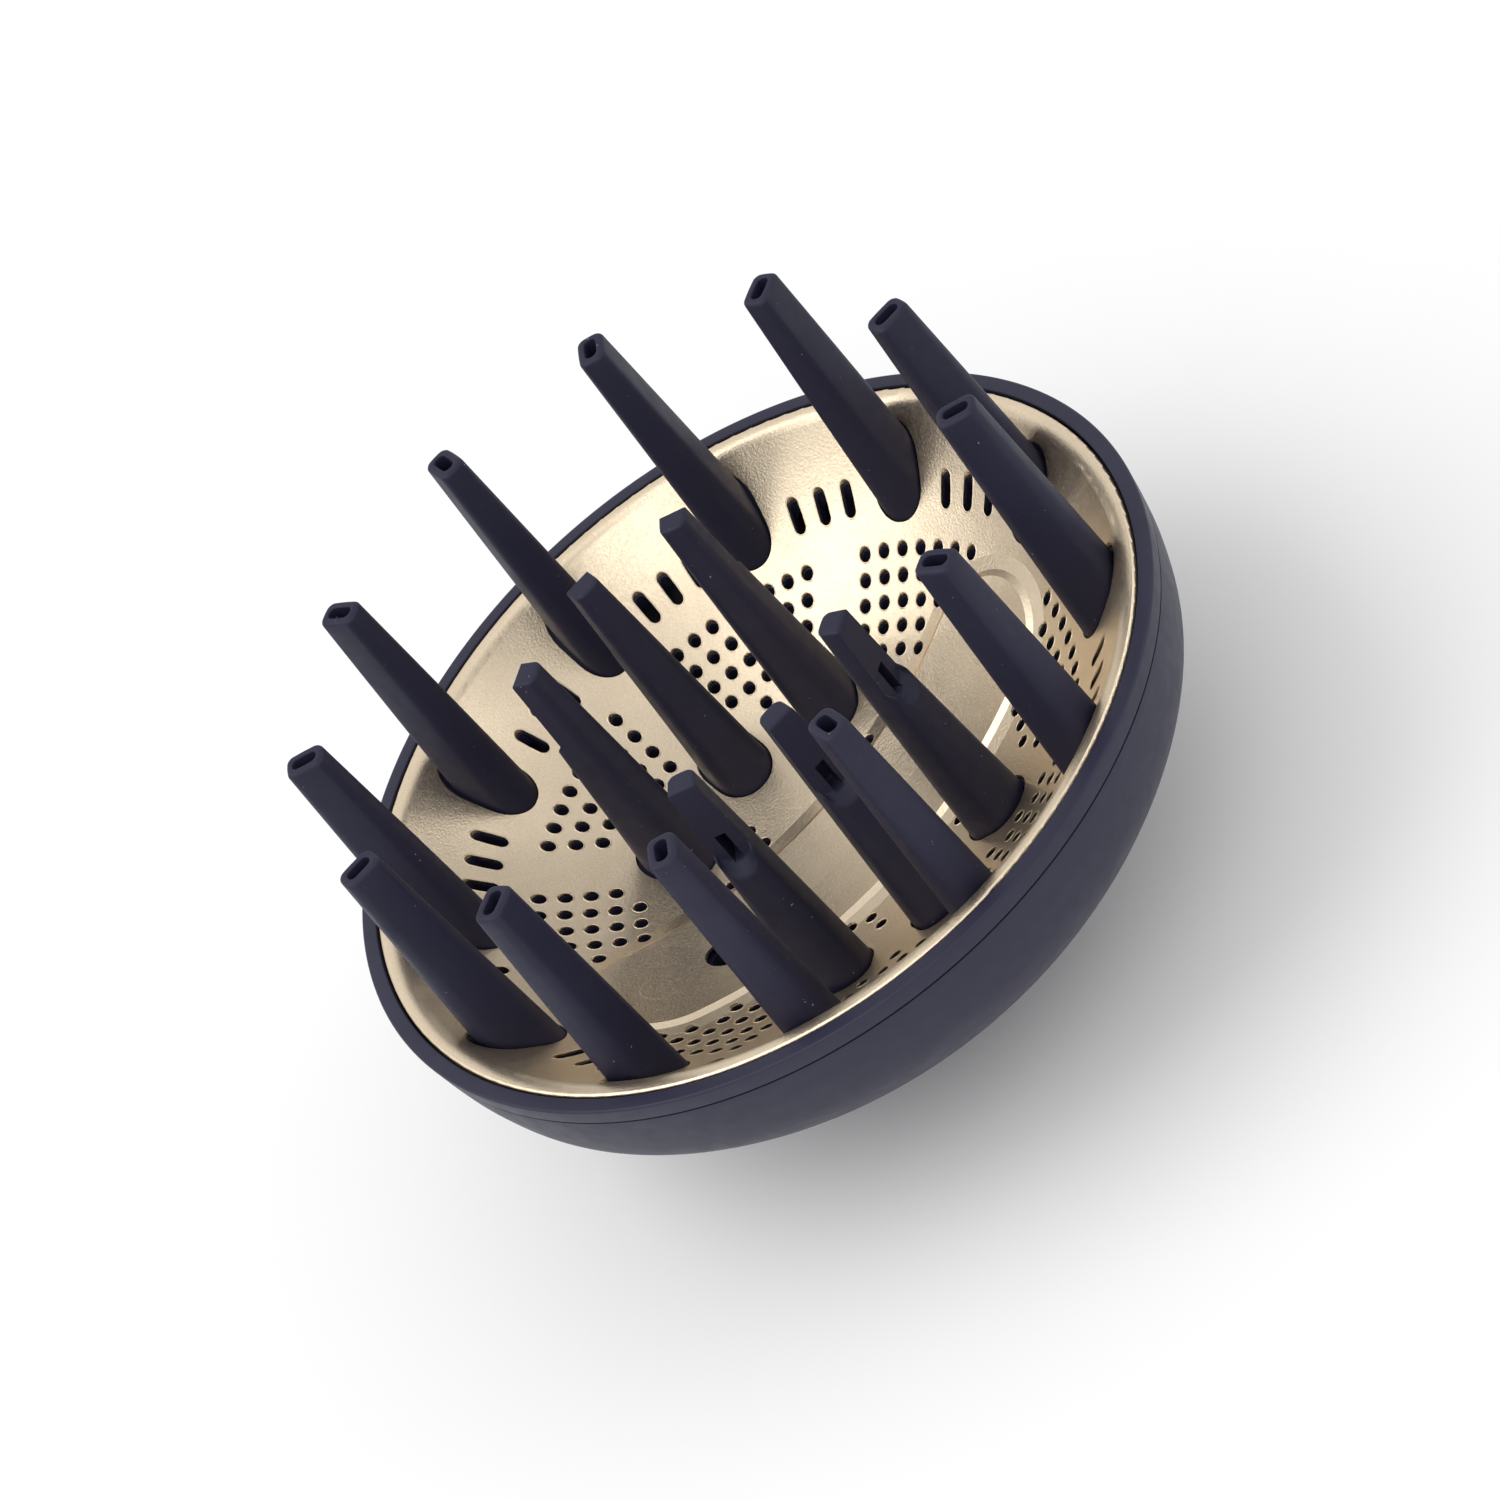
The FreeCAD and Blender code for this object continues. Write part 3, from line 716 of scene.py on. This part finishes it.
@dataclass
class InnerProng(Prong):
    """Short prong with an outward flat, a scooped ledge and an outlet slot above the ledge."""

    kind: str = "inner"
    circle: float = 31.25
    tip: float = 21.2
    tip_size: tuple[float, float, float] = (0.4, 3.95, 2.45)
    root: float = -30.4
    root_size: tuple[float, float, float] = (6.15, 6.2, 5.25)
    tip_round: float = 0.55
    flat: float = 0.25
    flat_round: float = 0.4
    ledge: float = 3.6
    ledge_rise: float = 2.6
    ledge_half: float = 2.9
    ledge_slope: float = 0.9
    flare_start: float = 1.0
    flare: float = 0.1
    slot_half: float = 0.95
    slot_span: tuple[float, float] = (3.4, 9.7)
    slot_depth: float = 3.4
    stem_half: tuple[float, float] = (4.8, 3.8)
    stem_end: float = -31.9
    segments: int = 96

    def at(self, turn: float, level: float, inset: float = 0.0) -> Vector:
        """Gives a point of the body, cut back by the flat and its ledge.

        Args:
            turn: angle round the section.
            level: height above the rim plane.
            inset: how far the section is drawn in.

        Returns:
            The point.
        """
        share = self.share(level)
        size = [a + (b - a) * share for a, b in zip(self.root_size, self.tip_size)]
        wide = max(level - self.ledge - self.flare_start, 0.0) * self.flare
        x, y = rounded_point(turn, size[0] + wide, size[1] - inset, size[2] - inset, self.corner(share))
        side = min(abs(y) / self.ledge_half, 1.0)
        fold = self.ledge + self.ledge_rise * (1 - math.sqrt(1 - side * side))
        limit = self.flat - inset + max(fold - level, 0.0) / self.ledge_slope
        x = soft_min(x, limit, self.flat_round)
        return Vector((self.circle + x, y, self.rim_z + level))

    def open_slot(self, bm: bmesh.types.BMesh) -> None:
        """Sinks the outlet slot into the flat.

        Args:
            bm: the prong's mesh, built on the X axis.
        """
        low, high = (self.rim_z + level for level in self.slot_span)
        cuts = (((0, 1, 0), -self.slot_half, 1), ((0, 1, 0), self.slot_half, 1),
                ((0, 0, 1), low, 2), ((0, 0, 1), high, 2))

        def on_flat(face: bmesh.types.BMFace) -> bool:
            """Whether a face is on the outward flat."""
            centre = face.calc_center_median() / MM
            return abs(centre.x - self.circle - self.flat) < 0.45 and low - 0.6 < centre.z < high + 6

        for normal, offset, axis in cuts:
            faces = [face for face in bm.faces if on_flat(face)]
            geom = faces + list({edge for face in faces for edge in face.edges}) + list(
                {vert for face in faces for vert in face.verts})
            point = [0.0, 0.0, 0.0]
            point[axis] = offset * MM
            bmesh.ops.bisect_plane(bm, geom=geom, dist=1e-7, plane_co=point, plane_no=normal)
        inside = [
            face for face in bm.faces
            if on_flat(face) and abs(face.calc_center_median().y) < self.slot_half * MM
            and low < face.calc_center_median().z / MM < high
        ]
        made = bmesh.ops.extrude_face_region(bm, geom=inside)["geom"]
        verts = [item for item in made if isinstance(item, bmesh.types.BMVert)]
        bmesh.ops.translate(bm, verts=verts, vec=(-self.slot_depth * MM, 0, 0))
        bmesh.ops.delete(bm, geom=inside, context="FACES")

    def build(self, index: int, angle: float) -> None:
        """Builds the prong.

        Args:
            index: number of the prong.
            angle: place round the dish in degrees.
        """
        loft = Loft(self.segments)
        loft.grow(lambda t: self.ring(t, self.stem_half, self.stem_end))
        loft.cap()
        loft.grow(lambda t: self.on_back(self.ring(t, self.stem_half, self.stem_end)))
        loft.grow(self.root_point)
        levels = [-23.5, -18.0, -12.0, -6.0, -2.0]
        levels += [0.5 + 0.25 * step for step in range(26)]
        levels += [8.0, 9.7, 12.0, 15.0, 18.0, 19.5]
        for level in levels:
            loft.grow(lambda t, z=level: self.at(t, z))
        self.round_tip(loft, 5)
        loft.cap()
        self.open_slot(loft.bm)
        self.put_in_place(loft, index, angle)


# ---- crowns of the raised bar --------------------------------------------------------------------------------
@dataclass
class BarCrowns:
    """Smooth skins over the crowns of the raised bar's two rounded ends."""

    finishes: Finishes
    sphere: Sphere
    bar_raise: float = 1.1
    end_deg: float = 27.1
    spread: float = 3.2
    shares: tuple = (0.08, 0.35, 0.65, 0.9, 0.97)
    lift: float = 0.02
    sink: float = 0.3
    segments: int = 32

    def point(self, turn: float, radius: float, out: float) -> Vector:
        """Gives a point round a crown.

        Args:
            turn: angle round the crown.
            radius: radius of the sphere that the point is on.
            out: distance from the crown, along the bar's face.

        Returns:
            The point, with the crown straight below the sphere's centre.
        """
        slant = out / (self.sphere.radius - self.bar_raise)
        return Vector((radius * math.sin(slant) * math.cos(turn), radius * math.sin(slant) * math.sin(turn),
                       -radius * math.cos(slant)))

    def build(self) -> None:
        """Builds both skins as one piece."""
        bm = bmesh.new()
        face = self.sphere.radius - self.bar_raise
        steps = [(face - self.lift, self.spread * share) for share in self.shares]
        steps += [(face, self.spread), (face + self.sink, self.spread)]
        for side in (-1, 1):
            loft = Loft(self.segments)
            for radius, out in steps:
                loft.grow(lambda t, r=radius, o=out: self.point(t, r, o))
                if out == steps[0][1]:
                    loft.cap()
            loft.cap()
            tilt = Matrix.Rotation(math.radians(-side * self.end_deg), 4, "Y")
            place = Matrix.Translation((0, 0, self.sphere.centre_z * MM)) @ tilt
            bmesh.ops.transform(loft.bm, matrix=place, verts=loft.bm.verts)
            merge_into(bm, loft.bm)
        finish_piece("bar_crowns", bm, self.finishes.dish, (), 70)


# ---- rolled rims of the perforations -------------------------------------------------------------------------
@dataclass
class Perforations:
    """Thin rolled rims round every hole and slot of the dish, all in one piece."""

    finishes: Finishes
    sphere: Sphere
    hole: float = 1.1
    first_row: float = 50.0
    row_pitch: float = 3.563
    hole_pitch: float = 3.74
    side_angle: float = 30.0
    slot_circle: float = 57.4
    slot_half: tuple[float, float] = (2.4, 1.075)
    slot_start: float = 10.0
    slot_pitch: float = 5.0
    group_pitch: float = 30.0
    slots_in_group: int = 3
    slots: int = 36
    rim: tuple = ((-0.01, -0.25), (-0.01, 0.02), (0.07, 0.07), (0.16, 0.05), (0.24, -0.04))

    def hole_centres(self) -> list[tuple[float, float]]:
        """Centres of the round holes of all four quadrants."""
        side_rows = {0: range(-4, 3), 1: range(-3, 3), 2: range(-2, 3), 3: range(-1, 3), 4: range(-1, 2)}
        middle_rows = {0: range(2, 10), 1: range(2, 9), 2: range(2, 8), 3: range(2, 6), 4: (3,), 8: (2, 4, 5),
                       9: (2, 3)}
        centres = []
        for rows, start in ((side_rows, self.side_angle), (middle_rows, 90.0)):
            for row, columns in rows.items():
                radius = self.first_row - row * self.row_pitch
                for column in columns:
                    step = column * self.hole_pitch / radius
                    angle = math.radians(start) + (step if start < 90 else -step)
                    x, y = radius * math.cos(angle), radius * math.sin(angle)
                    centres += [(x, y), (-x, y), (x, -y), (-x, -y)]
        return centres

    def rim_round(self, bm: bmesh.types.BMesh, place: tuple[float, float], half: tuple[float, float], angle: float,
                  segments: int) -> None:
        """Adds one rim.

        Args:
            bm: the mesh to add to.
            place: centre in millimetres.
            half: half sizes of the opening.
            angle: turn of the opening in degrees.
            segments: steps round the opening.
        """
        loft = Loft(segments)
        turn_by = Matrix.Rotation(math.radians(angle), 2)

        def put(turn: float, out: float, up: float) -> Vector:
            """Point of the rim, out from the opening and up from the dish face."""
            spot = turn_by @ Vector(oblong(turn, half[0] + out, half[1] + out, 0.999)) + Vector(place)
            return Vector((spot.x, spot.y, self.sphere.height(spot.x, spot.y) + up))

        for out, up in self.rim + self.rim[:1]:
            loft.grow(lambda t, o=out, u=up: put(t, o, u))
        merge_into(bm, loft.bm)

    def build(self) -> None:
        """Builds the rims."""
        bm = bmesh.new()
        for place in self.hole_centres():
            self.rim_round(bm, place, (self.hole, self.hole), 0.0, 12)
        for index in range(self.slots):
            group, place = divmod(index, self.slots_in_group)
            angle = self.slot_start + self.group_pitch * group + self.slot_pitch * place
            spot = Vector((self.slot_circle, 0)) @ Matrix.Rotation(-math.radians(angle), 2)
            self.rim_round(bm, tuple(spot), self.slot_half, angle, 20)
        finish_piece("hole_rims", bm, self.finishes.dish, (), 70)


# ---- studio --------------------------------------------------------------------------------------------------
@dataclass
class Studio:
    """Pale floor, soft lights and camera."""

    floor_half: float = 3.0
    floor_colour: tuple = (0.86, 0.86, 0.86, 1)
    world_strength: float = 0.84
    lamp_aim: tuple[float, float, float] = (0, 0, 0.05)
    lens: float = 150.54
    camera_right: tuple[float, float, float] = (0.68165, -0.51489, -0.51984)
    camera_up: tuple[float, float, float] = (0.72097, 0.35160, 0.59714)
    camera_spot: tuple[float, float, float] = (-0.12546, -0.77617, 0.65767)

    def floor(self) -> None:
        """Lays a plain pale floor under the object."""
        bm = bmesh.new()
        bmesh.ops.create_grid(bm, x_segments=1, y_segments=1, size=self.floor_half)
        mesh = bpy.data.meshes.new("floor")
        bm.to_mesh(mesh)
        bm.free()
        bench = NodeBench("pale_floor")
        bench.shader.inputs["Base Color"].default_value = self.floor_colour
        bench.shader.inputs["Roughness"].default_value = 0.9
        bench.shader.inputs["Specular IOR Level"].default_value = 0.1
        mesh.materials.append(bench.material)
        floor = bpy.data.objects.new("floor", mesh)
        bpy.context.scene.collection.objects.link(floor)

    def lamp(self, name: str, size: float, power: float, spot: tuple[float, float, float]) -> None:
        """Hangs a square area light that faces the object.

        Args:
            name: light name.
            size: side length in metres.
            power: power in watts.
            spot: where it hangs.
        """
        data = bpy.data.lights.new(name, "AREA")
        data.shape = "SQUARE"
        data.size = size
        data.energy = power
        lamp = bpy.data.objects.new(name, data)
        lamp.location = spot
        lamp.rotation_mode = "QUATERNION"
        lamp.rotation_quaternion = (Vector(self.lamp_aim) - Vector(spot)).to_track_quat("-Z", "Y")
        bpy.context.scene.collection.objects.link(lamp)

    def world(self) -> None:
        """Fills the room with plain white light."""
        world = bpy.data.worlds.new("room")
        world.use_nodes = True
        back = world.node_tree.nodes["Background"]
        back.inputs["Color"].default_value = (1.0, 1.0, 1.0, 1)
        back.inputs["Strength"].default_value = self.world_strength
        bpy.context.scene.world = world
        bpy.context.scene.view_settings.view_transform = "Standard"

    def camera(self) -> None:
        """Sets the long-lens camera, tipped to its side."""
        data = bpy.data.cameras.new("camera")
        data.lens = self.lens
        data.sensor_width = 36.0
        data.clip_start = 0.05
        data.clip_end = 50.0
        camera = bpy.data.objects.new("camera", data)
        right, up = Vector(self.camera_right), Vector(self.camera_up)
        turn = Matrix((right, up, right.cross(up))).transposed().to_4x4()
        camera.matrix_world = Matrix.Translation(self.camera_spot) @ turn
        bpy.context.scene.collection.objects.link(camera)
        bpy.context.scene.camera = camera

    def build(self) -> None:
        """Sets up the whole studio."""
        self.floor()
        self.world()
        self.lamp("key", 1.2, 8, (-0.75, 0.25, 1.25))
        self.lamp("front", 0.9, 4, (-0.5, -1.0, 1.1))
        self.lamp("fill", 0.8, 2, (1.1, -0.5, 0.7))
        self.camera()


def main() -> None:
    """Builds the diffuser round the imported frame."""
    logging.basicConfig(level=logging.INFO, format="%(message)s")
    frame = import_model()
    rim_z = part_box("trim_ring")[1].z / MM
    sphere = Sphere(DISH_RADIUS, rim_z + DISH_RISE)
    finishes = Finishes()
    for name, material in (("face_dish", finishes.dish), ("prong_carrier", finishes.inner)):
        mesh = frame["nodes"][name].data
        mesh.materials.clear()
        mesh.materials.append(material)
    RearAssembly(finishes, rim_z).build()
    for index, angle in enumerate(range(0, 360, OUTER_STEP), 1):
        OuterProng(finishes, sphere, rim_z).build(index, float(angle), OUTER_LEANS.get(angle, (0.0, 0.0)))
    for index, angle in enumerate(INNER_PLACES, 1):
        InnerProng(finishes, sphere, rim_z).build(index, angle)
    BarCrowns(finishes, sphere).build()
    Perforations(finishes, sphere).build()
    Studio().build()


if __name__ == "__main__":
    main()
